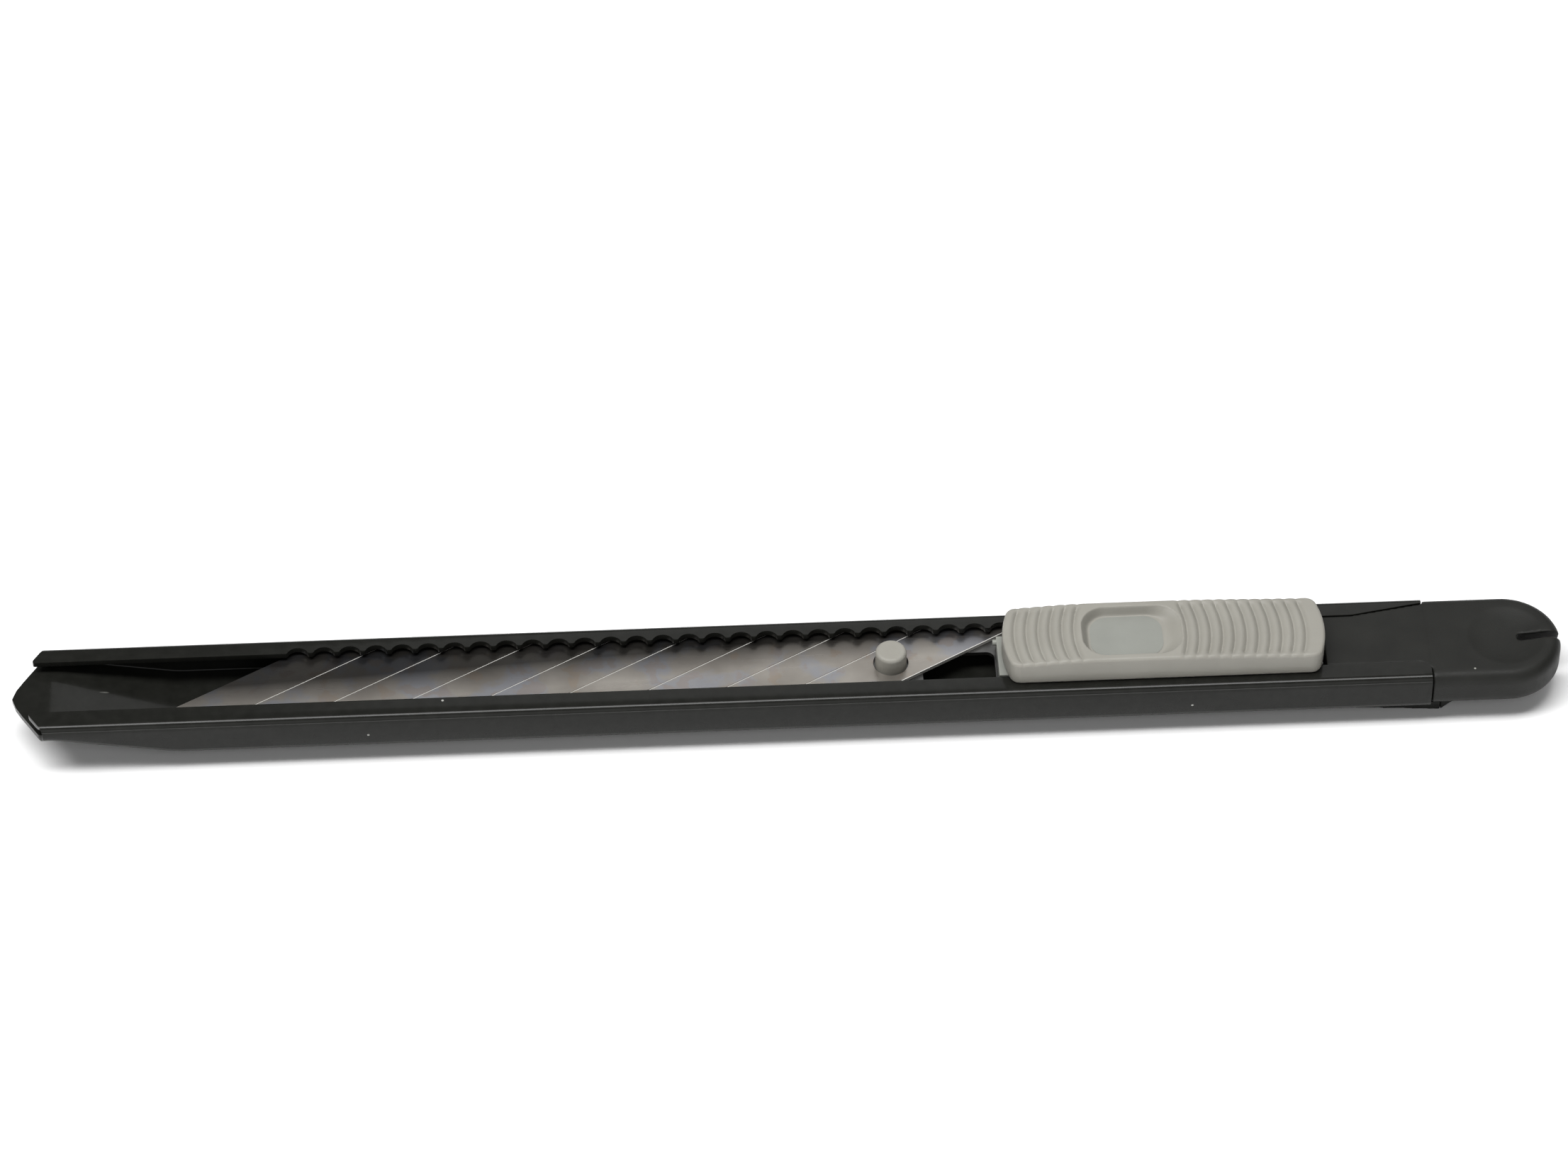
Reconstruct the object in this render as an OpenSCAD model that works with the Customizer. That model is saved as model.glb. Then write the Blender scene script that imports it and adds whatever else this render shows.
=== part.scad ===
// Slim snap-off cutter for a 9 mm scored blade. A folded sheet-steel channel with one toothed lip
// holds a sliding blade carrier with a ribbed thumb grip; a moulded end cap with a pocket clip
// plugs the rear. Millimetres. X runs along the knife with the nose at -X, +Z points out of the
// open side, and the toothed lip is at +Y. Z = 0 is the lowest face of the pocket clip.
// A "station" is a distance along the knife, measured from the point of the nose.

/* [Channel] */
// Length of the folded channel
channel_len = 135.5; // [135:0.5:137]
// Width over the side walls
channel_w = 11; // [10.9:0.1:11.4]
// Depth from the back plate to the outside of the lips
channel_t = 4; // [4:0.1:4.4]
// Sheet thickness
sheet = 0.55; // [0.5:0.05:0.55]
// Outside radius of the folds
fold_r = 0.8; // [0.7:0.1:1]
// Width of the plain lip
plain_lip_w = 2.43; // [2.3:0.01:2.5]
// Width of the toothed lip at its crests
rack_lip_w = 2.1; // [2:0.05:2.2]
// Length of the pointed end of the back plate
point_len = 3.1; // [2.5:0.1:3.5]
// Rounding of the point
point_r = 0.7; // [0.4:0.1:1]
// Station where the raised, flat part of the nose ends
nose_flat_end = 4.1; // [4:0.1:5]
// Station where the back plate has ramped down to its full depth
nose_ramp_end = 15.5; // [13:0.5:17]
// Height of the ramp in the back plate
nose_rise = 2.1; // [2:0.05:2.1]

/* [Teeth] */
// Pitch of the notches in the toothed lip, a third of a blade segment
tooth_pitch = 2.5; // [2.5:0.1:2.5]
// Number of notches
tooth_count = 35; // [30:1:35]
// Station of the first notch
first_notch = 27.25; // [27.25:0.01:27.25]
// Radius of each notch
notch_r = 1.1; // [1:0.05:1.15]
// Depth of each notch below the crests
notch_depth = 0.7; // [0.5:0.05:0.8]

/* [Blade] */
// Width of the blade
blade_w = 9; // [9:0.1:9]
// Thickness of the blade
blade_t = 0.38; // [0.3:0.01:0.38]
// Station of the cutting tip with the slider fully back
blade_tip = 11.7; // [11:0.1:12]
// Length along the cutting edge, from the tip to the tail
blade_edge_len = 69.3; // [69.3:0.1:69.5]
// Angle of the score lines to the cutting edge
score_angle = 30; // [30:1:30]
// Distance between score lines along the cutting edge
segment_pitch = 7.5; // [7.5:0.1:7.5]
// Number of score lines
score_count = 8; // [7:1:8]
// Width of the ground bevel at the cutting edge
grind_w = 1.3; // [0.8:0.1:1.6]
// Radius of the hole in the tail of the blade
blade_hole_r = 1.7; // [1.6:0.05:1.8]

/* [Slider] */
// Station of the front end of the thumb grip
grip_front = 94.6; // [94.4:0.1:95]
// Length of the thumb grip
grip_len = 30.9; // [30:0.1:31]
// Width of the thumb grip
grip_w = 7.75; // [7.4:0.05:7.8]
// Height of the thumb grip at its highest place
grip_h = 2.85; // [2.5:0.05:3]
// Height of the thumb grip at its ends
grip_end_h = 2.5; // [2.2:0.05:2.5]
// Spacing of the grooves across the thumb grip
groove_pitch = 1.14; // [1.1:0.01:1.2]
// Number of grooves in front of the thumb recess
front_grooves = 6; // [4:1:6]
// Number of grooves behind the thumb recess
rear_grooves = 11; // [8:1:12]
// Radius of the blade stud
stud_r = 1.5; // [1.4:0.05:1.5]
// Station of the blade stud
stud_station = 84; // [84:0.1:84]

/* [End cap] */
// Length of the cap behind the channel
cap_len = 13; // [12.5:0.1:13.5]
// Width of the cap
cap_w = 10.9; // [10.8:0.05:11]
// Radius of the rounded edges of the cap
cap_edge_r = 1.1; // [0.9:0.1:1.3]
// Radius of the dished finger hollows
dish_r = 3.8; // [3.4:0.1:4]
// Length of the slot that snaps segments off
snap_slot_len = 4.2; // [3.8:0.1:4.6]

/* [Pocket clip] */
// Station of the free end of the clip
clip_front = 117.1; // [116:0.1:118]
// Station where the clip meets the riser on the cap
clip_root = 136.7; // [136.6:0.1:136.9]
// Width of the clip at its free end
clip_front_w = 6.4; // [6:0.1:6.8]
// Width of the clip at its root
clip_root_w = 8.1; // [7.8:0.1:8.3]
// Thickness of the clip
clip_t = 1; // [0.9:0.05:1.05]

/* [Hidden] */
$fn = 48;
cut = 1;                // how far a cutter runs past the face that it cuts
gap = 0.05;             // clearance between pieces that slide on each other
fit = 0.02;             // clearance between pieces that are fixed together

// Levels above the lowest face of the clip
knife_len = channel_len + cap_len;
back_z = 1.8;                                   // outer face of the back plate
lip_z = back_z + channel_t;                     // outer face of the lips
lip_under_z = lip_z - sheet;                    // inner face of the lips
floor_z = back_z + sheet;                       // inner face of the back plate
nose_back_z = back_z + nose_rise;               // outer face of the raised nose
nose_floor_z = nose_back_z + sheet;             // inner face of the raised nose
blade_z = nose_floor_z + gap;                   // underside of the blade
blade_top_z = blade_z + blade_t;

// Places across the knife
wall_y = channel_w / 2;
plain_edge_y = -wall_y + plain_lip_w;
crest_y = wall_y - rack_lip_w;
notch_y = crest_y + notch_depth - notch_r;      // centre of a notch

// Nose outline
point_angle = atan(wall_y / point_len);
apex_x = point_r - point_r / sin(point_angle);
point_steps = 8;                                // straight steps in the round of the point

// Rear end of the lips, and the hole in the back plate behind the clip's window
lead_in_len = 6.9;                              // length over which the toothed lip narrows
lead_in_end_w = 0.8;                            // width left of the toothed lip at its end
plain_corner = 0.9;                             // corner cut off the plain lip
back_hole = [3.2, 4.4];
back_hole_station = 129.1;

// Blade
blade_slant = blade_w / tan(score_angle);
score_w = 0.14;
score_depth = 0.09;
edge_t = 0.04;                                  // thickness left at the cutting edge

// Slider
grip_y = -0.275;                                // centre line of the grip
grip_z = lip_z + gap;
recess_station = 106.5;
recess = [8.3, 6];
recess_floor = [7, 5.3];
recess_depth = 0.9;
recess_r = 2.1;
recess_step = 0.3;                              // how much tighter the corners of the floor are
grip_end_r = 9.5;                               // plan radius of the grip's ends
grip_edge = 0.35;                               // chamfer round the top of the grip
groove_r = 11;
groove_w = 0.5;
groove_depth = 0.22;
groove_sweep = 44;                              // angle that each groove turns through
first_groove = 95.75;
first_rear_groove = 112.3;
shoe_front = 94.2;
shoe_step = 97.2;                               // where the shoe widens, clear of the spring
shoe_rear = 125.2;
shoe_w = 9.6;
shoe_step_y = 2.2;                              // side of the narrow front part
neck_y = [-2.9, 3.15];                          // sides of the neck between the lips
gate_len = 0.35;                                // stub of the moulding gate on the shoe
gate_r = 0.3;
gate_y = 1.7;
spring_y = 2.05;                                // inner side of the spring's arm
spring_rear = 110;
spring_t = 0.3;
rest_notch = 29;                                // the notch that the spring rests in
spring_notch = first_notch + rest_notch * tooth_pitch;
spring_nose_r = 0.95;
holder_front = 80.6;
holder_rear = 100;
holder_w = 7.4;
holder_t = 0.4;
holder_z = blade_z - gap / 2 - holder_t;
holder_window = [7, 4.6];
holder_window_at = [90.5, -0.8];
holder_window_r = 0.8;
holder_r = 1.2;
stud_y = 0.2;
stud_top_z = 6.6;
stud_edge_r = 0.35;
stud_foot_r = 2.3;
stud_foot_t = 0.35;

// Cap
plug_front = 125.6;
seam = 0.12;                                    // gap between the channel and the cap
cap_step = 0.15;                                // how far the cap's back stands in
cap_z = back_z + cap_step;
dish_station = 143.2;
back_dish_depth = 1.9;
front_dish_depth = 0.45;
slot_top = [-0.4, 0.3];                         // sides of the snapping slot at the front
slot_bottom = [0.1, 1.5];                       // and at the back
slot_over = 0.1;                                // how far the slanted cutter runs past the faces
riser_rear = 138.8;
clip_tilt_z = 0.72;                             // rise of the clip towards the back plate
clip_window = [2.8, 3.8];
clip_window_station = 129.1;
clip_window_r = 0.6;
clip_mark_r = 1.05;
clip_mark_station = 132.4;
clip_mark_depth = 0.12;
clip_mark_z = clip_tilt_z * (clip_root - clip_mark_station) / (clip_root - clip_front);

// Puts a shape drawn by station into the knife's frame, whose origin is at half length
module on_knife() {
    translate([-knife_len / 2, 0, 0]) children();
}

// Extrudes a Y-Z section along the knife between two stations
module along(from, to) {
    translate([from, 0, 0])
        rotate([90, 0, 90])
            linear_extrude(to - from) children();
}

// Extrudes a plan outline upwards between two levels
module upright(from, to) {
    translate([0, 0, from]) linear_extrude(to - from) children();
}

// Rectangle from a low corner to a high corner, with round corners
module round_box(low, high, r) {
    size = high - low;
    translate(low + [r, 0]) square([size[0] - 2 * r, size[1]]);
    translate(low + [0, r]) square([size[0], size[1] - 2 * r]);
    for (x = [low[0] + r, high[0] - r], y = [low[1] + r, high[1] - r])
        translate([x, y]) circle(r);
}

// Round-cornered rectangle about a centre
module round_pad(centre, size, r) {
    round_box(centre - size / 2, centre + size / 2, r);
}

// Closed section of the folded sheet, drawn in by inset from its outer face
module channel_section(inset, bottom_z, top_z) {
    round_box([-wall_y + inset, bottom_z + inset], [wall_y - inset, top_z - inset], fold_r - inset);
}

// Filled form of the channel: full depth behind the ramp, shallow in front of it
module channel_form(inset, start, end) {
    ramp_angle = atan(nose_rise / (nose_ramp_end - nose_flat_end));
    intersection() {
        along(start, end) channel_section(inset, back_z, lip_z);
        union() {
            along(start, nose_ramp_end) channel_section(inset, nose_back_z, lip_z + channel_t);
            translate([nose_ramp_end, 0, back_z])
                rotate([0, ramp_angle, 0])
                    along(-nose_ramp_end - 2 * cut, knife_len)
                        channel_section(inset, 0, knife_len);
        }
    }
}

// Plan outline of the channel, pointed at the nose
module channel_plan() {
    sweep = 180 - 2 * point_angle;
    point_x = apex_x + point_r / sin(point_angle);
    polygon([
        for (i = [0:point_steps])
            let (turn = 90 + point_angle + sweep * i / point_steps)
                [point_x + point_r * cos(turn), point_r * sin(turn)],
        [point_len, -wall_y],
        [channel_len, -wall_y],
        [channel_len, wall_y],
        [point_len, wall_y]
    ]);
}

// Plan outline of the slot between the lips, with the lead-ins at its rear end
module lip_slot_plan() {
    polygon([
        [-cut, plain_edge_y],
        [channel_len - plain_corner, plain_edge_y],
        [channel_len, plain_edge_y - plain_corner],
        [channel_len + cut, plain_edge_y - plain_corner],
        [channel_len + cut, wall_y - lead_in_end_w],
        [channel_len, wall_y - lead_in_end_w],
        [channel_len - lead_in_len, crest_y],
        [-cut, crest_y]
    ]);
}

module body_channel() color([0.07, 0.07, 0.07]) on_knife() {
    difference() {
        intersection() {
            channel_form(0, -cut, channel_len);
            upright(back_z - cut, lip_z + cut) channel_plan();
        }
        channel_form(sheet, -2 * cut, channel_len + cut);
        upright(lip_under_z - sheet / 2, lip_z + cut) lip_slot_plan();
        for (i = [0:tooth_count - 1])
            translate([first_notch + i * tooth_pitch, notch_y, lip_under_z - sheet / 2])
                cylinder(h = 2 * sheet, r = notch_r);
        translate([back_hole_station - back_hole[0] / 2, -back_hole[1] / 2, back_z - cut])
            cube([back_hole[0], back_hole[1], sheet + 2 * cut]);
    }
}

// Shallow dish cut into a face, deepest at its centre
module dish(depth) {
    ball_r = (dish_r * dish_r + depth * depth) / (2 * depth);
    translate([0, 0, ball_r - depth]) sphere(ball_r, $fn = 96);
}

// Round-edged outline of the cap's rear end, spun about an upright axis
module cap_rear_end() {
    half = cap_w / 2;
    translate([knife_len - half, 0, 0])
        rotate_extrude($fn = 64)
            intersection() {
                round_box([-half, cap_z], [half, lip_z], cap_edge_r, $fn = 24);
                translate([0, cap_z]) square([half, lip_z - cap_z]);
            }
}

// Slot through the end of the cap, wider and offset on the back
module snap_slot() {
    along(knife_len - snap_slot_len, knife_len + cut)
        polygon([
            [slot_bottom[0], cap_z - slot_over],
            [slot_bottom[1], cap_z - slot_over],
            [slot_top[1], lip_z + slot_over],
            [slot_top[0], lip_z + slot_over]
        ]);
}

// Part of the cap that fills the channel, and the tongue of it between the lips
module cap_plug() {
    plug_low = [-wall_y + sheet + gap, floor_z + gap];
    plug_high = [wall_y - sheet - gap, lip_under_z - gap];
    along(plug_front, channel_len + seam)
        round_box(plug_low, plug_high, fold_r - sheet + gap);
    upright(lip_under_z - sheet, lip_z - gap)
        polygon([
            [plug_front, plain_edge_y + gap],
            [channel_len - plain_corner, plain_edge_y + gap],
            [channel_len + seam, plain_edge_y - plain_corner + gap],
            [channel_len + seam, wall_y - lead_in_end_w - 2 * gap],
            [channel_len - lead_in_len, crest_y - gap],
            [plug_front, crest_y - gap]
        ]);
}

module end_cap() color([0.17, 0.17, 0.165]) on_knife() {
    head_start = channel_len + seam;
    difference() {
        union() {
            hull() {
                along(head_start, head_start + cap_edge_r)
                    round_box([-cap_w / 2, cap_z], [cap_w / 2, lip_z], cap_edge_r, $fn = 24);
                cap_rear_end();
            }
            cap_plug();
            rotate([90, 0, 0])
                translate([0, 0, -clip_root_w / 2])
                    linear_extrude(clip_root_w)
                        polygon([
                            [clip_root, 0],
                            [riser_rear, cap_z],
                            [riser_rear, cap_z + clip_t],
                            [clip_root, cap_z + clip_t]
                        ]);
        }
        translate([dish_station, 0, cap_z]) mirror([0, 0, 1]) dish(back_dish_depth);
        translate([dish_station, 0, lip_z]) dish(front_dish_depth);
        snap_slot();
    }
}

module pocket_clip() color([0.17, 0.17, 0.165]) on_knife() {
    rear = clip_root - fit;
    difference() {
        intersection() {
            rotate([90, 0, 0])
                translate([0, 0, -clip_root_w])
                    linear_extrude(2 * clip_root_w)
                        polygon([
                            [clip_front, clip_tilt_z],
                            [rear, 0],
                            [rear, clip_t],
                            [clip_front, clip_tilt_z + clip_t]
                        ]);
            upright(-cut, back_z)
                polygon([
                    [clip_front, -clip_front_w / 2],
                    [rear, -clip_root_w / 2],
                    [rear, clip_root_w / 2],
                    [clip_front, clip_front_w / 2]
                ]);
        }
        upright(-cut, back_z)
            round_pad([clip_window_station, 0], clip_window, clip_window_r);
        translate([clip_mark_station, 0, -cut])
            cylinder(h = cut + clip_mark_z + clip_mark_depth, r = clip_mark_r);
    }
}

// Level of the top of the grip at a station: flat over the recess, falling to both ends
function grip_top(station) =
    lookup(station, [
        [grip_front, grip_z + grip_end_h],
        [recess_station - recess[0] / 2, grip_z + grip_h],
        [recess_station + recess[0] / 2, grip_z + grip_h],
        [grip_front + grip_len, grip_z + grip_end_h]
    ]);

// Plan outline of the grip: straight sides between two convex ends
module grip_outline() {
    half = grip_w / 2;
    middle = grip_front + grip_len / 2;
    for (side = [0, 1])
        intersection() {
            translate([side ? middle : grip_front, grip_y - half]) square([grip_len / 2, grip_w]);
            translate([middle + (side ? 1 : -1) * (grip_len / 2 - grip_end_r), grip_y])
                circle(grip_end_r, $fn = 96);
        }
}

// Side outline of the grip, with its edges broken at both ends
module grip_side() {
    rear = grip_front + grip_len;
    polygon([
        [grip_front, grip_z],
        [rear, grip_z],
        [rear, grip_top(rear) - grip_edge],
        [rear - grip_edge, grip_top(rear - grip_edge)],
        [recess_station + recess[0] / 2, grip_z + grip_h],
        [recess_station - recess[0] / 2, grip_z + grip_h],
        [grip_front + grip_edge, grip_top(grip_front + grip_edge)],
        [grip_front, grip_top(grip_front) - grip_edge]
    ]);
}

// Curved groove across the grip; bow is -1 where it bulges forward and 1 where it bulges back
module groove(station, bow) {
    translate([station - bow * groove_r, grip_y, grip_top(station) - groove_depth])
        rotate([0, 0, (bow < 0 ? 180 : 0) - groove_sweep / 2])
            rotate_extrude(angle = groove_sweep, $fn = 96)
                translate([groove_r - groove_w / 2, 0]) square([groove_w, cut]);
}

module slider_grip() color([0.74, 0.735, 0.7]) on_knife() {
    difference() {
        intersection() {
            upright(grip_z, grip_z + 2 * grip_h) grip_outline();
            rotate([90, 0, 0])
                translate([0, 0, -grip_w])
                    linear_extrude(2 * grip_w) grip_side();
        }
        upright(grip_z + grip_h - recess_depth, grip_z + 2 * grip_h)
            round_pad([recess_station, grip_y], recess, recess_r);
        upright(grip_z - cut, grip_z + grip_h)
            round_pad([recess_station, grip_y], recess_floor, recess_r - recess_step);
        for (i = [0:front_grooves - 1]) groove(first_groove + i * groove_pitch, -1);
        for (i = [0:rear_grooves - 1]) groove(first_rear_groove + i * groove_pitch, 1);
    }
}

module slider_shoe() color([0.68, 0.69, 0.67]) on_knife() {
    bottom = floor_z + 2 * gap;
    top = lip_under_z - gap;
    difference() {
        union() {
            translate([shoe_step, -shoe_w / 2, bottom])
                cube([shoe_rear - shoe_step, shoe_w, top - bottom]);
            translate([shoe_front, -shoe_w / 2, bottom])
                cube([shoe_step - shoe_front, shoe_w / 2 + shoe_step_y, top - bottom]);
            translate([shoe_front, neck_y[0], top - gap])
                cube([shoe_step - shoe_front, shoe_step_y - neck_y[0], grip_z - top + gap]);
            translate([shoe_step, neck_y[0], top - gap])
                cube([shoe_rear - shoe_step, neck_y[1] - neck_y[0], grip_z - top + gap]);
            upright(grip_z - gap, grip_z + grip_h - recess_depth)
                round_pad([recess_station, grip_y], recess_floor - [gap, gap], recess_r - recess_step);
            translate([shoe_front - gate_len, gate_y, grip_z - gate_r])
                rotate([0, 90, 0]) cylinder(h = 2 * gate_len, r = gate_r);
        }
        translate([shoe_front - cut, -holder_w / 2 - gap, holder_z - gap])
            cube([holder_rear - shoe_front + cut + gap, holder_w + 2 * gap, holder_t + 2 * gap]);
        translate([shoe_step - cut, spring_y - gap, top])
            cube([spring_rear - shoe_step + cut, cut + neck_y[1] - spring_y, grip_z - top]);
    }
}

module lock_spring() color([0.62, 0.62, 0.6]) on_knife() {
    upright(lip_under_z, lip_z)
        difference() {
            union() {
                translate([spring_notch, notch_y]) circle(spring_nose_r);
                translate([spring_notch - spring_nose_r, spring_y])
                    square([spring_rear - gap - spring_notch + spring_nose_r, spring_t]);
            }
            translate([spring_notch, notch_y]) circle(spring_nose_r - spring_t);
        }
}

module blade_holder() color([0.35, 0.35, 0.34]) on_knife() {
    upright(holder_z, holder_z + holder_t)
        difference() {
            round_box([holder_front, -holder_w / 2], [holder_rear, holder_w / 2], holder_r);
            round_pad(holder_window_at, holder_window, holder_window_r);
            translate([stud_station, stud_y]) circle(stud_r + fit);
        }
}

module holder_stud() color([0.74, 0.735, 0.7]) on_knife() {
    foot_z = holder_z - gap / 2 - stud_foot_t;
    translate([stud_station, stud_y, 0]) {
        rotate_extrude()
            intersection() {
                round_box([-stud_r, foot_z], [stud_r, stud_top_z], stud_edge_r);
                translate([0, foot_z]) square([stud_r, stud_top_z - foot_z]);
            }
        translate([0, 0, foot_z]) cylinder(h = stud_foot_t, r = stud_foot_r);
    }
}

// Cross-section of the blade, ground to an edge on the side away from the teeth
module blade_section() {
    middle = blade_z + blade_t / 2;
    polygon([
        [-blade_w / 2, middle - edge_t / 2],
        [-blade_w / 2 + grind_w, blade_z],
        [blade_w / 2, blade_z],
        [blade_w / 2, blade_top_z],
        [-blade_w / 2 + grind_w, blade_top_z],
        [-blade_w / 2, middle + edge_t / 2]
    ]);
}

module snap_off_blade() color([0.6, 0.58, 0.55]) on_knife() {
    edge_end = blade_tip + blade_edge_len;
    difference() {
        intersection() {
            along(blade_tip - cut, edge_end + blade_slant + cut) blade_section();
            upright(blade_z - cut, blade_top_z + cut)
                polygon([
                    [blade_tip, -blade_w / 2],
                    [edge_end, -blade_w / 2],
                    [edge_end + blade_slant, blade_w / 2],
                    [blade_tip + blade_slant, blade_w / 2]
                ]);
        }
        for (i = [1:score_count])
            translate([blade_tip + i * segment_pitch, -blade_w / 2, blade_top_z - score_depth])
                rotate([0, 0, score_angle])
                    translate([-cut, -score_w / 2, 0])
                        cube([blade_w / sin(score_angle) + 2 * cut, score_w, cut]);
        translate([stud_station, stud_y, blade_z - cut])
            cylinder(h = blade_t + 2 * cut, r = blade_hole_r);
    }
}

body_channel();
end_cap();
pocket_clip();
slider_grip();
slider_shoe();
lock_spring();
blade_holder();
holder_stud();
snap_off_blade();
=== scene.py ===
"""Looks for the slim snap-off cutter: detailed meshes, procedural materials, studio light and camera."""

import math

import bmesh
import bpy
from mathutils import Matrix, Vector


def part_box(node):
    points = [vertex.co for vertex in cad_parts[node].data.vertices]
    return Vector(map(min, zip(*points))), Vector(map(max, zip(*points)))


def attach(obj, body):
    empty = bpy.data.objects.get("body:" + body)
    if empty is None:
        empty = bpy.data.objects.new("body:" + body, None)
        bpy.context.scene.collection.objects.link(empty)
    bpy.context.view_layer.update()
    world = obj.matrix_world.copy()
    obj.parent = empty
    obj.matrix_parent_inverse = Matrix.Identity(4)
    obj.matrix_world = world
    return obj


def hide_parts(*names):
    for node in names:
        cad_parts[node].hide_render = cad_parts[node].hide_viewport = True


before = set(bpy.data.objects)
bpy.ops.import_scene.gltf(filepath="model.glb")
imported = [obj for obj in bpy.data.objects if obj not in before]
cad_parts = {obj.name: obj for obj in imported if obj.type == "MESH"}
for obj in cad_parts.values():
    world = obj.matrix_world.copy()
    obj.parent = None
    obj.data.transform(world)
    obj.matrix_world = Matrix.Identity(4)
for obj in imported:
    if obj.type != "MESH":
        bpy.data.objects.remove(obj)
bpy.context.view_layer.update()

MM = 0.001

# Every place comes from the CAD boxes. A station is a distance behind the point of the nose.
channel_low, channel_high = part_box("body_channel")
grip_low, grip_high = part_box("slider_grip")
blade_low, blade_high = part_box("snap_off_blade")
stud_low, stud_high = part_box("holder_stud")
nose_x = channel_low.x

# Channel, as in the CAD model
SHEET = 0.55 * MM
SHEET_EDGE_R = 0.15 * MM
FOLD_R = 0.8 * MM
PLAIN_LIP = 2.43 * MM
RACK_LIP = 2.1 * MM
POINT_LEN = 3.1 * MM
POINT_R = 0.5 * MM
LIP_CORNER_R = 0.45 * MM
NOSE_FLAT_END = 4.1 * MM
NOSE_RAMP_END = 15.5 * MM
NOSE_RISE = 2.1 * MM
RAMP_BLEND = 0.8 * MM
TOOTH_PITCH = 2.5 * MM
TOOTH_COUNT = 35
FIRST_NOTCH = 27.25 * MM
NOTCH_R = 1.1 * MM
NOTCH_DEPTH = 0.7 * MM
LEAD_IN = 6.9 * MM
LEAD_IN_END = 0.8 * MM
PLAIN_CORNER = 0.9 * MM
BACK_HOLE = (3.2 * MM, 4.4 * MM)         # along the knife and across it
BACK_HOLE_AT = 129.1 * MM

# Cross-sections of the channel: how many over the nose, over the ramp and over each tooth
NOSE_STEPS, RAMP_STEPS, TOOTH_STEPS = 18, 56, 20
NOSE_CROWDING = 1.7                      # draws the nose's sections together at the point
REAR_STEP = 3 * MM

# Blade, as in the CAD model
SCORE_ANGLE = math.radians(30)
SCORE_PITCH = 7.5 * MM
SCORE_COUNT = 8
BLADE_EDGE = 69.3 * MM
# Widths of the painted highlight lines drawn on the score lines and on the tail's cut edge
SCORE_HALF_WIDTH = 0.065 * MM
TAIL_LINE_WIDTH = 0.07 * MM
SCORE_MARGIN = 1 * MM                    # no line is nearer the tip's slant, or further past the last one

# The blade's painted dark reflection over its upper part: it narrows towards the tail, and begins and is
# full at shares of the width
REFLECTION_SHADE_SLOPE = 0.058
REFLECTION_SHADE_FROM, REFLECTION_SHADE_TO = 0.1, 0.48
REFLECTION_SHADE_TONE = 0.13

# Grip: its outline is as in the CAD model, and its grooves and recess are more finely formed
GRIP_END_H = 2.5 * MM
GRIP_END_R = 9.5 * MM
GRIP_CORNER_R = 0.5 * MM
GRIP_EDGE_R = 0.3 * MM
GRIP_FOOT = 0.25 * MM                    # small chamfer round the grip's underside
RECESS_MOUTH = (107.0 * MM, 9.6 * MM, 6.3 * MM, 2.4 * MM)      # middle, length, width, corner radius
RECESS_FLOOR = (106.5 * MM, 7.1 * MM, 5.4 * MM, 1.7 * MM)
RECESS_DEPTH = 0.93 * MM
GROOVE_PITCH = 1.14 * MM
GROOVE_DEPTH = 0.34 * MM
GROOVE_R = 11 * MM
GROOVE_TURN = (102 * MM, 111 * MM)       # between these stations the grooves change to bow the other way
GROOVE_FADE = (0.6 * MM, 0.7)            # over this last stretch to the edge they lose this share of depth
FRONT_GROOVES = (95.75 * MM, 6)          # first groove, and how many
REAR_GROOVES = (112.3 * MM, 11)
GRIP_GRID = (84, 380)                    # faces across and along its top

# Stud
STUD_FOOT_H = 0.35 * MM
STUD_SHANK_R = 1.5 * MM
STUD_EDGE_R = 0.38 * MM
STUD_STEPS = 64


# ---------------------------------------------------------------- mesh helpers

def smoothstep(low, high, value):
    """0 below low, 1 above high, with a soft change between."""
    t = min(1.0, max(0.0, (value - low) / (high - low)))
    return t * t * (3 - 2 * t)


def add_object(name, bm, body, slot_name, *nodes):
    """Turns a bmesh into a smooth-shaded piece that rides on a body and stands for CAD nodes."""
    mesh = bpy.data.meshes.new(name)
    bm.to_mesh(mesh)
    bm.free()
    mesh.polygons.foreach_set("use_smooth", [True] * len(mesh.polygons))
    piece = bpy.data.objects.new(name, mesh)
    bpy.context.scene.collection.objects.link(piece)
    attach(piece, body)
    if nodes:
        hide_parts(*nodes)
    return piece


def add_bevel(piece, width, segments=2):
    """Rounds a piece's edges sharper than 50 degrees."""
    bevel = piece.modifiers.new("edges", "BEVEL")
    bevel.width = width
    bevel.segments = segments
    bevel.limit_method = "ANGLE"
    bevel.angle_limit = math.radians(50)
    bevel.use_clamp_overlap = True
    weighted = piece.modifiers.new("normals", "WEIGHTED_NORMAL")
    weighted.keep_sharp = True


def remeshed(name, node, body, voxel, rounds):
    """A CAD node's form remeshed fine and relaxed, so that its edges are round as moulded edges are."""
    piece = bpy.data.objects.new(name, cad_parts[node].data.copy())
    bpy.context.scene.collection.objects.link(piece)
    remesh = piece.modifiers.new("remesh", "REMESH")
    remesh.mode = "VOXEL"
    remesh.voxel_size = voxel
    relax = piece.modifiers.new("relax", "SMOOTH")
    relax.factor = 0.5
    relax.iterations = rounds
    graph = bpy.context.evaluated_depsgraph_get()
    graph.update()
    made = bpy.data.meshes.new_from_object(piece.evaluated_get(graph))
    piece.modifiers.clear()
    piece.data = made
    made.name = name
    made.materials.clear()
    made.polygons.foreach_set("use_smooth", [True] * len(made.polygons))
    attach(piece, body)
    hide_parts(node)
    return piece


# ---------------------------------------------------------------- channel

def nose_start(y):
    """How far behind the point the sheet begins at a place across the knife: a V with a round point."""
    slope = math.sqrt((POINT_LEN + POINT_R) ** 2 - POINT_R ** 2) / channel_high.y
    return math.hypot(slope * y, POINT_R) - POINT_R


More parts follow.
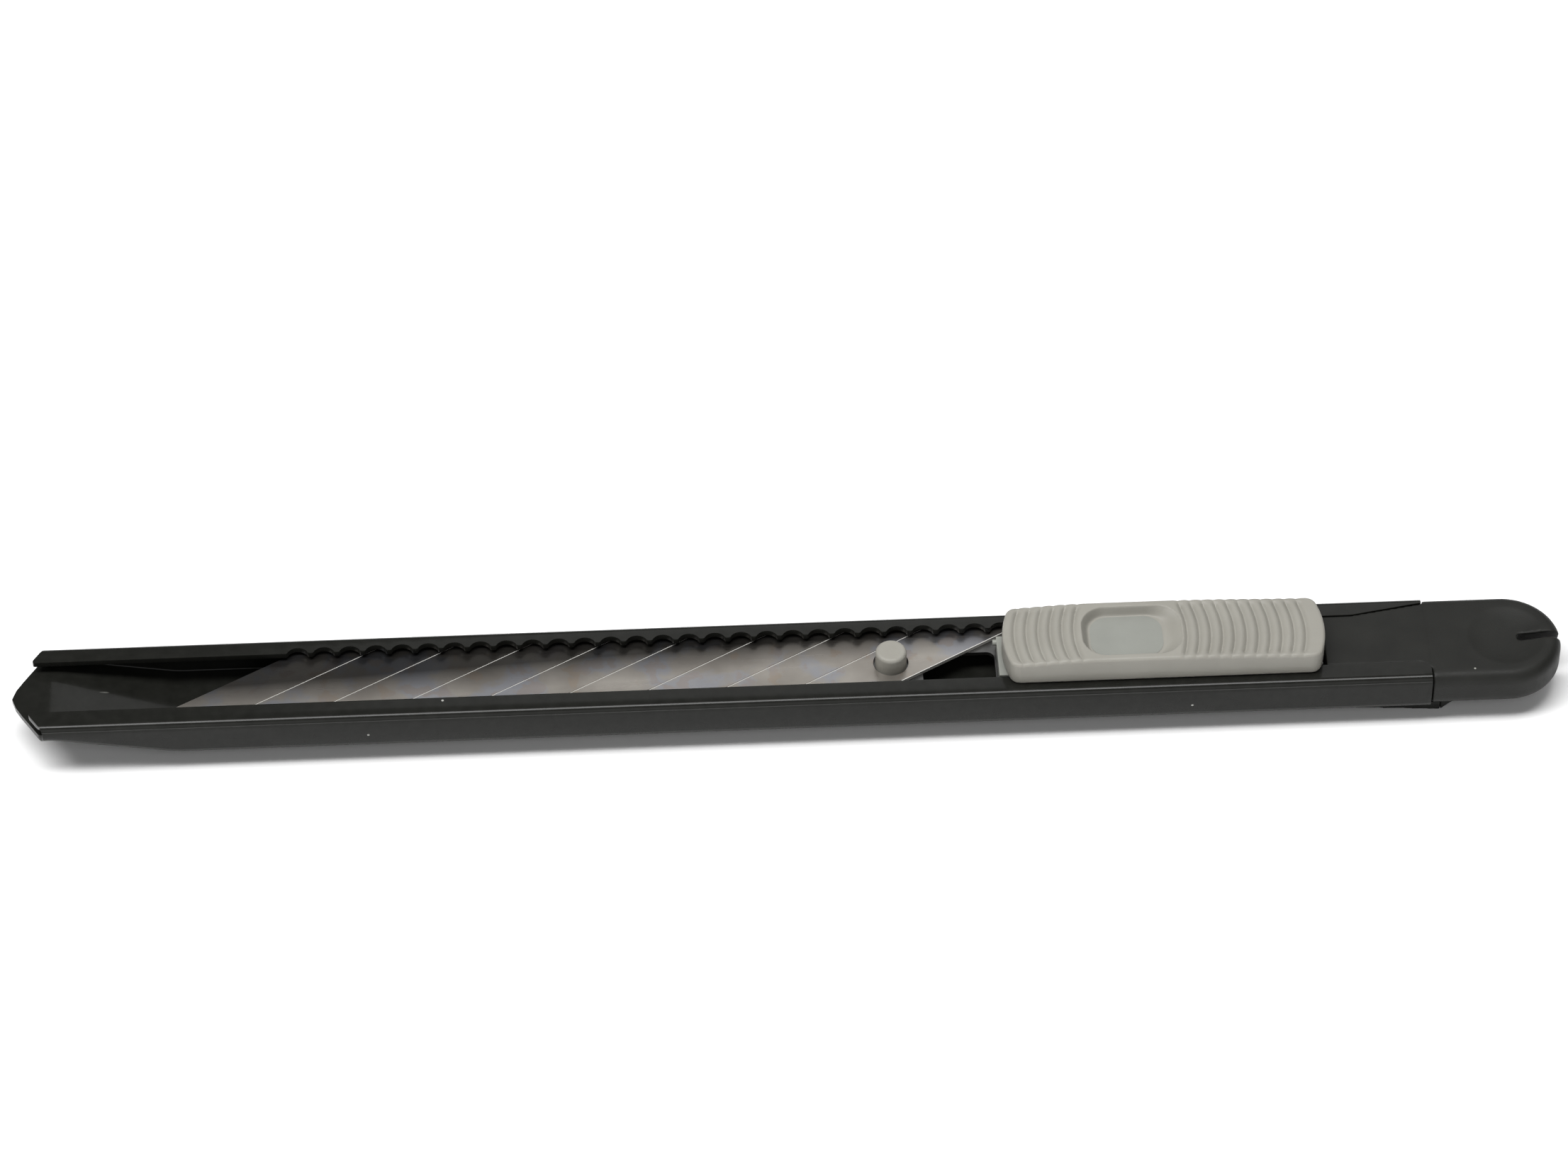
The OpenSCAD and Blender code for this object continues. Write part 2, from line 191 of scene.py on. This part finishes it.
def back_level(station):
    """Level of the back plate's outer face: raised at the nose, with soft bends into the ramp."""
    slope = NOSE_RISE / (NOSE_RAMP_END - NOSE_FLAT_END)

    def soft(distance):
        if distance <= -RAMP_BLEND:
            return 0.0
        if distance >= RAMP_BLEND:
            return distance
        return (distance + RAMP_BLEND) ** 2 / (4 * RAMP_BLEND)

    fall = soft(station - NOSE_FLAT_END) - soft(station - NOSE_RAMP_END)
    return channel_low.z + NOSE_RISE - slope * fall


def lip_corner(station):
    """How far a lip's free edge draws back near the nose, where the lip's corner is round."""
    share = station / NOSE_FLAT_END
    away = max(0.0, LIP_CORNER_R - share * (NOSE_FLAT_END - POINT_LEN / 2))
    return LIP_CORNER_R - math.sqrt(LIP_CORNER_R ** 2 - away ** 2)


def rack_edge(station):
    """Place across the knife of the toothed lip's free edge."""
    wall = channel_high.y
    crest = wall - RACK_LIP + lip_corner(station)
    index = round((station - FIRST_NOTCH) / TOOTH_PITCH)
    if 0 <= index < TOOTH_COUNT:
        offset = abs(station - FIRST_NOTCH - index * TOOTH_PITCH)
        if offset < NOTCH_R:
            centre = crest + NOTCH_DEPTH - NOTCH_R
            return max(crest, centre + math.sqrt(NOTCH_R ** 2 - offset ** 2))
    length = channel_high.x - nose_x
    lead = max(0.0, station - (length - LEAD_IN)) / LEAD_IN
    return crest + lead * (RACK_LIP - LEAD_IN_END)


def plain_edge(station):
    """Place across the knife of the plain lip's free edge, round at its rear corner."""
    edge = channel_low.y + PLAIN_LIP - lip_corner(station)
    into = station - (channel_high.x - nose_x - PLAIN_CORNER)
    if into <= 0:
        return edge
    return edge - PLAIN_CORNER + math.sqrt(max(0.0, PLAIN_CORNER ** 2 - into ** 2))


def channel_section(station):
    """Outer outline of the folded sheet at a station, from the toothed edge round to the plain edge."""
    top = channel_high.z
    low = back_level(station)
    inner = channel_high.y - FOLD_R
    upper = top - FOLD_R
    lower = low + FOLD_R
    half_hole = BACK_HOLE[1] / 2

    turns = [math.radians(15 * i) for i in range(7)]
    turned = [(FOLD_R * math.sin(a), FOLD_R * math.cos(a)) for a in turns]
    points = [(rack_edge(station) * (1 - t) + inner * t, top) for t in (0, 0.08, 0.5)]
    points += [(inner + a, upper + b) for a, b in turned]
    points += [(inner + b, lower - a) for a, b in turned]
    points += [(half_hole * share, low) for share in (1, 0.5, 0, -0.5, -1)]
    points += [(-inner - a, lower - b) for a, b in turned]
    points += [(-inner - b, upper + a) for a, b in turned]
    points += [(plain_edge(station) * t - inner * (1 - t), top) for t in (0.5, 0.92, 1)]
    return points


def channel_stations():
    """Stations of the channel's cross-sections, close together where its outline changes."""
    length = channel_high.x - nose_x
    start = FIRST_NOTCH - TOOTH_PITCH
    hole = [BACK_HOLE_AT - BACK_HOLE[0] / 2, BACK_HOLE_AT + BACK_HOLE[0] / 2]
    nose = [NOSE_FLAT_END * (i / NOSE_STEPS) ** NOSE_CROWDING for i in range(NOSE_STEPS + 1)]
    ramp = [NOSE_FLAT_END + (start - NOSE_FLAT_END) * i / RAMP_STEPS for i in range(1, RAMP_STEPS + 1)]
    teeth = [start + TOOTH_PITCH * i / TOOTH_STEPS for i in range(1, TOOTH_STEPS * (TOOTH_COUNT + 1) + 1)]
    rear = [hole[0] - REAR_STEP, *hole, length - LEAD_IN, length - PLAIN_CORNER]
    corner = [length - PLAIN_CORNER * (1 - math.sin(math.radians(a))) for a in range(15, 91, 15)]
    plain = [teeth[-1] + REAR_STEP * i for i in range(1, 5)]
    return sorted({round(s, 7) for s in nose + ramp + teeth + rear + corner + plain if s <= length + 1e-9})


def make_channel():
    """The folded channel: its outer face as a grid, open at the back hole, thickened inwards."""
    bm = bmesh.new()
    rows = []
    for station in channel_stations():
        row = []
        for y, z in channel_section(station):
            x = station
            if station < NOSE_FLAT_END:
                first = nose_start(y)
                x = first + (NOSE_FLAT_END - first) * station / NOSE_FLAT_END
            row.append(bm.verts.new((nose_x + x, y, z)))
        rows.append(row)
    half_hole = BACK_HOLE[1] / 2
    for a, b in zip(rows, rows[1:]):
        for i in range(len(a) - 1):
            corners = (a[i], b[i], b[i + 1], a[i + 1])
            centre = sum((v.co for v in corners), Vector()) / 4
            in_hole = (
                abs(centre.x - nose_x - BACK_HOLE_AT) < BACK_HOLE[0] / 2
                and abs(centre.y) < half_hole
                and centre.z < channel_low.z + SHEET
            )
            if not in_hole:
                bm.faces.new(corners)
    loose = [v for v in bm.verts if not v.link_faces]
    bmesh.ops.delete(bm, geom=loose, context="VERTS")
    piece = add_object("channel_shell", bm, "channel", "body_lacquer", "body_channel")
    solid = piece.modifiers.new("sheet", "SOLIDIFY")
    solid.thickness = SHEET
    solid.offset = -1
    solid.use_even_offset = True
    add_bevel(piece, SHEET_EDGE_R, 3)
    return piece


# ---------------------------------------------------------------- grip

def bow(x, y):
    """How far a curve of the grip's ribs lies behind the centre line's station at a place across it."""
    sag = GROOVE_R - math.sqrt(GROOVE_R ** 2 - y ** 2)
    return sag * (1 - 2 * smoothstep(*GROOVE_TURN, x))


def grip_end_sag(y, half):
    """How far the grip's end lies inside its full length, with a round corner in plan."""
    sag = GRIP_END_R - math.sqrt(GRIP_END_R ** 2 - y ** 2)
    over = abs(y) - (half - GRIP_CORNER_R)
    if over > 0:
        sag += GRIP_CORNER_R - math.sqrt(max(0.0, GRIP_CORNER_R ** 2 - over ** 2))
    return sag


def groove_shape(station):
    """Depth of the grooves at a centre-line station: a row of round ribs with narrow valleys."""
    for first, count in (FRONT_GROOVES, REAR_GROOVES):
        last = first + GROOVE_PITCH * (count - 1)
        if first - GROOVE_PITCH / 2 <= station <= last + GROOVE_PITCH / 2:
            phase = (station - first) / GROOVE_PITCH
            away = abs(phase - round(phase)) * 2
            return (1 - away) ** 2
    return 0.0


def inside_pad(pad, x, y):
    """Distance of a place inside a rounded pad's outline, negative outside."""
    middle, length, width, corner = pad
    dx = abs(x - middle) - (length / 2 - corner)
    dy = abs(y) - (width / 2 - corner)
    return corner - math.hypot(max(dx, 0.0), max(dy, 0.0)) - min(max(dx, dy), 0.0)


def recess_share(x, y):
    """0 on the rim round the thumb recess, 1 on its floor, with a small step and a slope between."""
    mouth = inside_pad(RECESS_MOUTH, x, y)
    if mouth <= 0:
        return 0.0
    beyond_floor = max(0.0, -inside_pad(RECESS_FLOOR, x, y))
    return smoothstep(-0.2, 0.94, mouth / (mouth + beyond_floor))


def grip_height(x, y, half):
    """Level of the grip's top above its underside."""
    full = grip_high.z - grip_low.z
    front = grip_low.x - nose_x
    rear = grip_high.x - nose_x
    rise = smoothstep(front, RECESS_MOUTH[0] - RECESS_MOUTH[1] / 2, x)
    fall = smoothstep(RECESS_MOUTH[0] + RECESS_MOUTH[1] / 2, rear, x)
    level = GRIP_END_H + (full - GRIP_END_H) * (rise - fall)
    stretch, lost = GROOVE_FADE
    fade = 1 - lost * smoothstep(half - stretch, half, abs(y))
    level -= GROOVE_DEPTH * groove_shape(x - bow(x, y)) * fade
    return level - RECESS_DEPTH * recess_share(x, y)


def grip_top(bm):
    """The grip's top as a grid of vertices, one column for each step along it."""
    centre_y = (grip_low.y + grip_high.y) / 2
    half = (grip_high.y - grip_low.y) / 2 - GRIP_EDGE_R
    front = grip_low.x - nose_x
    rear = grip_high.x - nose_x
    across, along = GRIP_GRID
    turns = [math.sin(math.pi * (i / across - 0.5)) for i in range(across + 1)]
    places = [half * (0.75 * (2 * i / across - 1) + 0.25 * turns[i]) for i in range(across + 1)]
    grid = []
    for i in range(along + 1):
        column = []
        for y in places:
            sag = grip_end_sag(y, half)
            low_x = front + GRIP_EDGE_R + sag
            high_x = rear - GRIP_EDGE_R - sag
            x = low_x + (high_x - low_x) * i / along
            z = grip_low.z + grip_height(x, y, half)
            column.append(bm.verts.new((nose_x + x, centre_y + y, z)))
        grid.append(column)
    for a, b in zip(grid, grid[1:]):
        for j in range(across):
            bm.faces.new((a[j], b[j], b[j + 1], a[j + 1]))
    return grid


def make_grip():
    """The thumb grip: its ribbed top, a rolled edge, and sides down to a flat underside."""
    bm = bmesh.new()
    grid = grip_top(bm)
    rim = grid[0] + [c[-1] for c in grid[1:]] + grid[-1][-2::-1] + [c[0] for c in grid[-2:0:-1]]
    count = len(rim)
    outward = []
    for i in range(count):
        step = rim[(i + 1) % count].co - rim[i - 1].co
        outward.append(Vector((-step.y, step.x, 0)).normalized())

    def rolled(angle):
        out, drop = GRIP_EDGE_R * math.sin(angle), GRIP_EDGE_R * (1 - math.cos(angle))
        return out, lambda top: top - drop

    rings = [rolled(math.radians(90 * k / 4)) for k in range(1, 5)]
    rings += [
        (GRIP_EDGE_R, lambda top: (top - GRIP_EDGE_R + grip_low.z) / 2),
        (GRIP_EDGE_R, lambda top: grip_low.z + GRIP_FOOT),
        (GRIP_EDGE_R - 0.5 * GRIP_FOOT, lambda top: grip_low.z),
    ]
    previous = rim
    for out, level in rings:
        ring = []
        for start, away in zip(rim, outward):
            point = start.co + away * out
            point.z = level(start.co.z)
            ring.append(bm.verts.new(point))
        for i in range(count):
            j = (i + 1) % count
            bm.faces.new((previous[i], previous[j], ring[j], ring[i]))
        previous = ring
    bm.faces.new(previous[::-1])
    bmesh.ops.recalc_face_normals(bm, faces=bm.faces)
    return add_object("thumb_grip", bm, "slider", "grip_plastic", "slider_grip")


# ---------------------------------------------------------------- stud

def make_stud():
    """The blade stud turned as one form: foot, shank and a softly rounded top."""
    centre = (stud_low + stud_high) / 2
    foot_r = (stud_high.x - stud_low.x) / 2
    foot_top = stud_low.z + STUD_FOOT_H
    outline = [(foot_r, stud_low.z), (foot_r, foot_top), (STUD_SHANK_R, foot_top), (STUD_SHANK_R, centre.z)]
    for i in range(7):
        a = math.radians(90 * i / 6)
        inset, drop = STUD_EDGE_R * (1 - math.cos(a)), STUD_EDGE_R * (1 - math.sin(a))
        outline.append((STUD_SHANK_R - inset, stud_high.z - drop))
    bm = bmesh.new()
    turns = [2 * math.pi * i / STUD_STEPS for i in range(STUD_STEPS)]
    rings = [
        [bm.verts.new((centre.x + r * math.cos(a), centre.y + r * math.sin(a), z)) for a in turns]
        for r, z in outline
    ]
    for a, b in zip(rings, rings[1:]):
        for i in range(STUD_STEPS):
            j = (i + 1) % STUD_STEPS
            bm.faces.new((a[i], a[j], b[j], b[i]))
    bm.faces.new(rings[0][::-1])
    bm.faces.new(rings[-1])
    bmesh.ops.recalc_face_normals(bm, faces=bm.faces)
    piece = add_object("blade_stud", bm, "slider", "grip_plastic", "holder_stud")
    add_bevel(piece, 0.05 * MM)
    return piece


# ---------------------------------------------------------------- materials

def new_material(name, values):
    """A material, its node tree and its shader; values go on the shader's own sockets."""
    material = bpy.data.materials.new(name)
    material.use_nodes = True
    tree = material.node_tree
    shader = tree.nodes["Principled BSDF"]
    for socket, value in values.items():
        shader.inputs[socket].default_value = value
    return material, tree, shader


def grey(value):
    return (value, value, value)


def calculate(tree, operation, *values):
    """One step of arithmetic on values, each a number or the output of another node."""
    node = tree.nodes.new("ShaderNodeMath")
    node.operation = operation
    for socket, value in zip(node.inputs, values):
        if isinstance(value, bpy.types.NodeSocket):
            tree.links.new(value, socket)
        else:
            socket.default_value = value
    return node.outputs[0]


def object_coordinates(tree):
    return tree.nodes.new("ShaderNodeTexCoord").outputs["Object"]


def noise(tree, scale, detail=3.0, stretch=None):
    """Noise over the piece; scale is in features a metre."""
    node = tree.nodes.new("ShaderNodeTexNoise")
    node.inputs["Scale"].default_value = scale
    node.inputs["Detail"].default_value = detail
    source = object_coordinates(tree)
    if stretch:
        mapping = tree.nodes.new("ShaderNodeMapping")
        mapping.inputs["Scale"].default_value = stretch
        tree.links.new(source, mapping.inputs["Vector"])
        source = mapping.outputs["Vector"]
    tree.links.new(source, node.inputs["Vector"])
    return node.outputs["Fac"]


def rolled_grain(tree):
    """Fine lines along the knife, as rolling and grinding leave on strip."""
    return noise(tree, 5000, 3, (0.04, 1, 1))


def ramp(tree, source, low, high):
    """Colour from one stop to another over a value; a stop is (place, colour)."""
    node = tree.nodes.new("ShaderNodeValToRGB")
    for element, (place, colour) in zip(node.color_ramp.elements, (low, high)):
        element.position = place
        element.color = (*colour, 1)
    tree.links.new(source, node.inputs["Fac"])
    return node.outputs["Color"]


def mix_colour(tree, factor, a, b, blend_type="MIX"):
    """Colour a with colour b over it; each is a colour or the output of another node."""
    node = tree.nodes.new("ShaderNodeMix")
    node.data_type = "RGBA"
    node.blend_type = blend_type
    for socket, value in ((node.inputs[0], factor), (node.inputs[6], a), (node.inputs[7], b)):
        if isinstance(value, bpy.types.NodeSocket):
            tree.links.new(value, socket)
        elif isinstance(value, tuple):
            socket.default_value = (*value, 1)
        else:
            socket.default_value = value
    return node.outputs[2]


def bump(tree, shader, height, distance):
    node = tree.nodes.new("ShaderNodeBump")
    node.inputs["Strength"].default_value = 1
    node.inputs["Distance"].default_value = distance
    tree.links.new(height, node.inputs["Height"])
    tree.links.new(node.outputs["Normal"], shader.inputs["Normal"])


def specks(tree, scale, size):
    """1 where a fleck lies: the middles of a few cells of a fine scatter."""
    cells = tree.nodes.new("ShaderNodeTexVoronoi")
    cells.inputs["Scale"].default_value = scale
    tree.links.new(object_coordinates(tree), cells.inputs["Vector"])
    chance = tree.nodes.new("ShaderNodeSeparateColor")
    tree.links.new(cells.outputs["Color"], chance.inputs[0])
    near = calculate(tree, "LESS_THAN", cells.outputs["Distance"], size)
    rare = calculate(tree, "LESS_THAN", chance.outputs[0], 0.12)
    return calculate(tree, "MULTIPLY", near, rare)


def lacquer_material():
    """Glossy black lacquer with a slight ripple, dust and a few fine scratches along the knife."""
    material, tree, shader = new_material(
        "black_lacquer", {"IOR": 1.18, "Coat Weight": 0.25, "Coat Roughness": 0.11})
    base = ramp(tree, noise(tree, 900), (0.3, (0.009, 0.0092, 0.0078)), (0.7, (0.0125, 0.0127, 0.011)))
    dusted = mix_colour(tree, specks(tree, 420, 0.05), base, (0.35, 0.35, 0.33))
    scratches = ramp(tree, noise(tree, 1100, 1, (0.06, 1, 1)), (0.79, grey(0)), (0.81, grey(1)))
    worn = mix_colour(tree, scratches, dusted, (0.12, 0.12, 0.11))
    tree.links.new(worn, shader.inputs["Base Color"])
    rough = ramp(tree, noise(tree, 260, 4), (0.35, grey(0.22)), (0.7, grey(0.28)))
    tree.links.new(rough, shader.inputs["Roughness"])
    bump(tree, shader, noise(tree, 1500, 2), 0.004 * MM)
    return material


def cap_material():
    """Black plastic with a fine matt grain and a little dust."""
    material, tree, shader = new_material("cap_plastic", {"IOR": 1.3})
    base = ramp(tree, noise(tree, 350, 4), (0.3, (0.011, 0.0112, 0.0098)), (0.7, (0.0155, 0.0158, 0.0138)))
    dusted = mix_colour(tree, specks(tree, 520, 0.06), base, (0.3, 0.3, 0.27))
    tree.links.new(dusted, shader.inputs["Base Color"])
    rough = ramp(tree, noise(tree, 700, 3), (0.3, grey(0.45)), (0.7, grey(0.56)))
    tree.links.new(rough, shader.inputs["Roughness"])
    bump(tree, shader, noise(tree, 7000, 2), 0.012 * MM)
    return material


def light_plastic(name, dark, light, roughness, grain):
    """Pale moulded plastic: faint changes of tone, light carried a little way in, a fine grain."""
    material, tree, shader = new_material(name, {
        "IOR": 1.4,
        "Subsurface Weight": 0.08,
        "Subsurface Radius": (0.4 * MM, 0.35 * MM, 0.3 * MM),
        "Subsurface Scale": 1.0,
    })
    base = ramp(tree, noise(tree, 260, 4), (0.3, dark), (0.72, light))
    tree.links.new(base, shader.inputs["Base Color"])
    rough = ramp(tree, noise(tree, 900, 3), (0.3, grey(roughness - 0.05)), (0.7, grey(roughness + 0.06)))
    tree.links.new(rough, shader.inputs["Roughness"])
    bump(tree, shader, noise(tree, 6000, 3), grain)
    return material


def steel_material(name, dark, light, roughness):
    """Rolled strip: fine grain along the knife and slow changes of tone."""
    material, tree, shader = new_material(name, {"Metallic": 1.0})
    tone = ramp(tree, noise(tree, 220, 5), (0.3, dark), (0.7, light))
    tree.links.new(tone, shader.inputs["Base Color"])
    grain = rolled_grain(tree)
    rough = ramp(tree, grain, (0.3, grey(roughness - 0.04)), (0.7, grey(roughness + 0.06)))
    tree.links.new(rough, shader.inputs["Roughness"])
    bump(tree, shader, grain, 0.001 * MM)
    return material


def stain(tree, base, patches, low, high, share, colour):
    """Patches of a thin film of colour over a base, with edges between two levels of the noise."""
    film = ramp(tree, patches, (low, grey(0)), (high, grey(1)))
    return mix_colour(tree, calculate(tree, "MULTIPLY", film, share), base, colour)


def score_lines(tree, along, across):
    """1 on the blade's score lines, and on the edge where its tail is cut at the same angle; the mask of
    the blade's painted highlight lines.
    """
    step = SCORE_PITCH * math.sin(SCORE_ANGLE)
    square = calculate(
        tree, "SUBTRACT",
        calculate(tree, "MULTIPLY", along, math.sin(SCORE_ANGLE)),
        calculate(tree, "MULTIPLY", across, math.cos(SCORE_ANGLE)),
    )
    nearest = calculate(tree, "PINGPONG", square, step / 2)
    line = calculate(tree, "LESS_THAN", nearest, SCORE_HALF_WIDTH)
    after_tip = calculate(tree, "GREATER_THAN", square, SCORE_MARGIN)
    before_tail = calculate(tree, "LESS_THAN", square, SCORE_COUNT * step + SCORE_MARGIN)
    line = calculate(tree, "MULTIPLY", line, calculate(tree, "MULTIPLY", after_tip, before_tail))
    tail_at = BLADE_EDGE * math.sin(SCORE_ANGLE) - TAIL_LINE_WIDTH
    tail = calculate(tree, "GREATER_THAN", square, tail_at)
    return calculate(tree, "MAXIMUM", line, tail)


def blade_material():
    """Ground strip with oily stains, small pits, a painted dark reflection over its upper part and painted
    highlights on the score lines.
    """
    material, tree, shader = new_material("blade_steel", {"Metallic": 0.85})
    place = tree.nodes.new("ShaderNodeSeparateXYZ")
    tree.links.new(object_coordinates(tree), place.inputs[0])
    along = calculate(tree, "SUBTRACT", place.outputs["X"], blade_low.x)
    across = calculate(tree, "SUBTRACT", place.outputs["Y"], blade_low.y)

    tone = ramp(tree, noise(tree, 160, 5), (0.35, (0.29, 0.268, 0.24)), (0.65, (0.4, 0.375, 0.34)))
    stained = stain(tree, tone, noise(tree, 210, 4), 0.5, 0.58, 0.5, (0.3, 0.33, 0.4))
    stained = stain(tree, stained, noise(tree, 420, 5), 0.56, 0.6, 0.35, (0.33, 0.25, 0.18))
    # Painted reflection: the blade's upper part is darkened towards the toothed lip, standing in for the
    # dark lip mirrored in the steel.
    rise = calculate(tree, "SUBTRACT", across, calculate(tree, "MULTIPLY", along, REFLECTION_SHADE_SLOPE))
    rise = calculate(tree, "DIVIDE", rise, blade_high.y - blade_low.y)
    painted_reflection = ramp(tree, rise, (REFLECTION_SHADE_FROM, grey(1)), (REFLECTION_SHADE_TO, grey(REFLECTION_SHADE_TONE)))
    with_painted_reflection = mix_colour(tree, 1, stained, painted_reflection, "MULTIPLY")
    line = score_lines(tree, along, across)
    # Painted highlight: the score lines and the tail's cut edge are lightened to pale grey, standing in for
    # light caught on the groove and cut edges.
    base = mix_colour(tree, line, with_painted_reflection, (0.75, 0.74, 0.71))
    base = mix_colour(tree, specks(tree, 260, 0.05), base, grey(0.02))
    tree.links.new(base, shader.inputs["Base Color"])

    rough = ramp(tree, rolled_grain(tree), (0.3, grey(0.27)), (0.7, grey(0.34)))
    rough = mix_colour(tree, line, rough, grey(0.6))
    tree.links.new(rough, shader.inputs["Roughness"])
    bump(tree, shader, noise(tree, 900, 2), 0.0006 * MM)
    return material


# ---------------------------------------------------------------- pieces

channel = make_channel()
cap = remeshed("end_cap_moulding", "end_cap", "cap", 0.13 * MM, 3)
clip = remeshed("clip_tongue", "pocket_clip", "clip", 0.1 * MM, 3)
grip = make_grip()
stud = make_stud()

lacquer = lacquer_material()
cap_black = cap_material()
grip_grey = light_plastic("grip_plastic", (0.268, 0.259, 0.229), (0.293, 0.284, 0.252), 0.45, 0.006 * MM)
# The shoe's plastic is a little bluish beside the grip's, its own colour; its lower tone is painted shade,
# as its boss forms the thumb recess's floor.
shoe_grey = light_plastic("shoe_plastic", (0.232, 0.238, 0.216), (0.255, 0.262, 0.237), 0.35, 0.002 * MM)
blade_steel = blade_material()
holder_steel = steel_material("holder_steel", (0.1, 0.1, 0.1), (0.16, 0.16, 0.155), 0.32)
spring_steel = steel_material("spring_steel", (0.4, 0.4, 0.39), (0.5, 0.5, 0.48), 0.25)

channel.data.materials.append(lacquer)
cap.data.materials.append(cap_black)
clip.data.materials.append(cap_black)
grip.data.materials.append(grip_grey)
stud.data.materials.append(grip_grey)

# The CAD nodes that are shown as they are: material and edge radius
CAD_FINISH = {
    "slider_shoe": (shoe_grey, 0.12 * MM),
    "lock_spring": (spring_steel, 0.04 * MM),
    "blade_holder": (holder_steel, 0.05 * MM),
    "snap_off_blade": (blade_steel, 0.0),
}
for node_name, (finish, edge) in CAD_FINISH.items():
    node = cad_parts[node_name]
    node.data.materials.clear()
    node.data.materials.append(finish)
    if edge:
        add_bevel(node, edge)


# ---------------------------------------------------------------- stage, light and camera

def make_floor():
    bm = bmesh.new()
    bmesh.ops.create_grid(bm, x_segments=1, y_segments=1, size=3)
    mesh = bpy.data.meshes.new("floor")
    bm.to_mesh(mesh)
    bm.free()
    floor = bpy.data.objects.new("floor", mesh)
    bpy.context.scene.collection.objects.link(floor)
    material = new_material("floor_white", {"Base Color": (0.95, 0.95, 0.95, 1), "Roughness": 0.9})[0]
    mesh.materials.append(material)


def make_light(name, place, size, power):
    """A soft box that faces the object; size is its local width and height."""
    data = bpy.data.lights.new(name, "AREA")
    data.shape = "RECTANGLE"
    data.size, data.size_y = size
    data.energy = power
    light = bpy.data.objects.new(name, data)
    bpy.context.scene.collection.objects.link(light)
    light.location = place
    light.rotation_mode = "QUATERNION"
    light.rotation_quaternion = (-Vector(place)).to_track_quat("-Z", "Y")


def make_world(strength):
    world = bpy.data.worlds.new("studio")
    world.use_nodes = True
    background = world.node_tree.nodes["Background"]
    background.inputs["Color"].default_value = (1, 1, 1, 1)
    background.inputs["Strength"].default_value = strength
    bpy.context.scene.world = world


def make_camera():
    """The photograph's view: nose to the left, seen from in front and above, by a long lens."""
    azimuth, elevation = math.radians(-2.9), math.radians(46.0)
    distance = 0.62
    view_width = 0.1503
    target = Vector((0.0, 0.0, 4 * MM))
    image_size = (2212, 1659)
    target_at = (1113.5, 951)            # the target's place in the image, from its top left corner
    data = bpy.data.cameras.new("camera")
    data.sensor_width = 36
    data.lens = data.sensor_width * distance / view_width
    data.clip_start, data.clip_end = 0.01, 10
    camera = bpy.data.objects.new("camera", data)
    bpy.context.scene.collection.objects.link(camera)
    back = Vector((
        math.sin(azimuth) * math.cos(elevation),
        -math.cos(azimuth) * math.cos(elevation),
        math.sin(elevation),
    ))
    camera.rotation_mode = "QUATERNION"
    camera.rotation_quaternion = (-back).to_track_quat("-Z", "Y")
    right = camera.rotation_quaternion @ Vector((1, 0, 0))
    up = camera.rotation_quaternion @ Vector((0, 1, 0))
    per_pixel = view_width / image_size[0]
    offset = right * (image_size[0] / 2 - target_at[0]) * per_pixel
    offset += up * (target_at[1] - image_size[1] / 2) * per_pixel
    camera.location = target + back * distance + offset
    bpy.context.scene.camera = camera


make_floor()
make_world(0.12)
make_light("overhead", (-0.22, -0.02, 0.85), (0.3, 1.1), 11)
make_light("behind", (0.33, 0.7, 0.66), (0.8, 0.5), 1.3)
make_light("front_strip", (0.03, -0.9, 0.12), (0.5, 0.14), 1.0)
make_light("front_soft", (0.05, -0.75, 0.6), (0.9, 0.6), 1.6)
bpy.context.scene.view_settings.view_transform = "Standard"
make_camera()
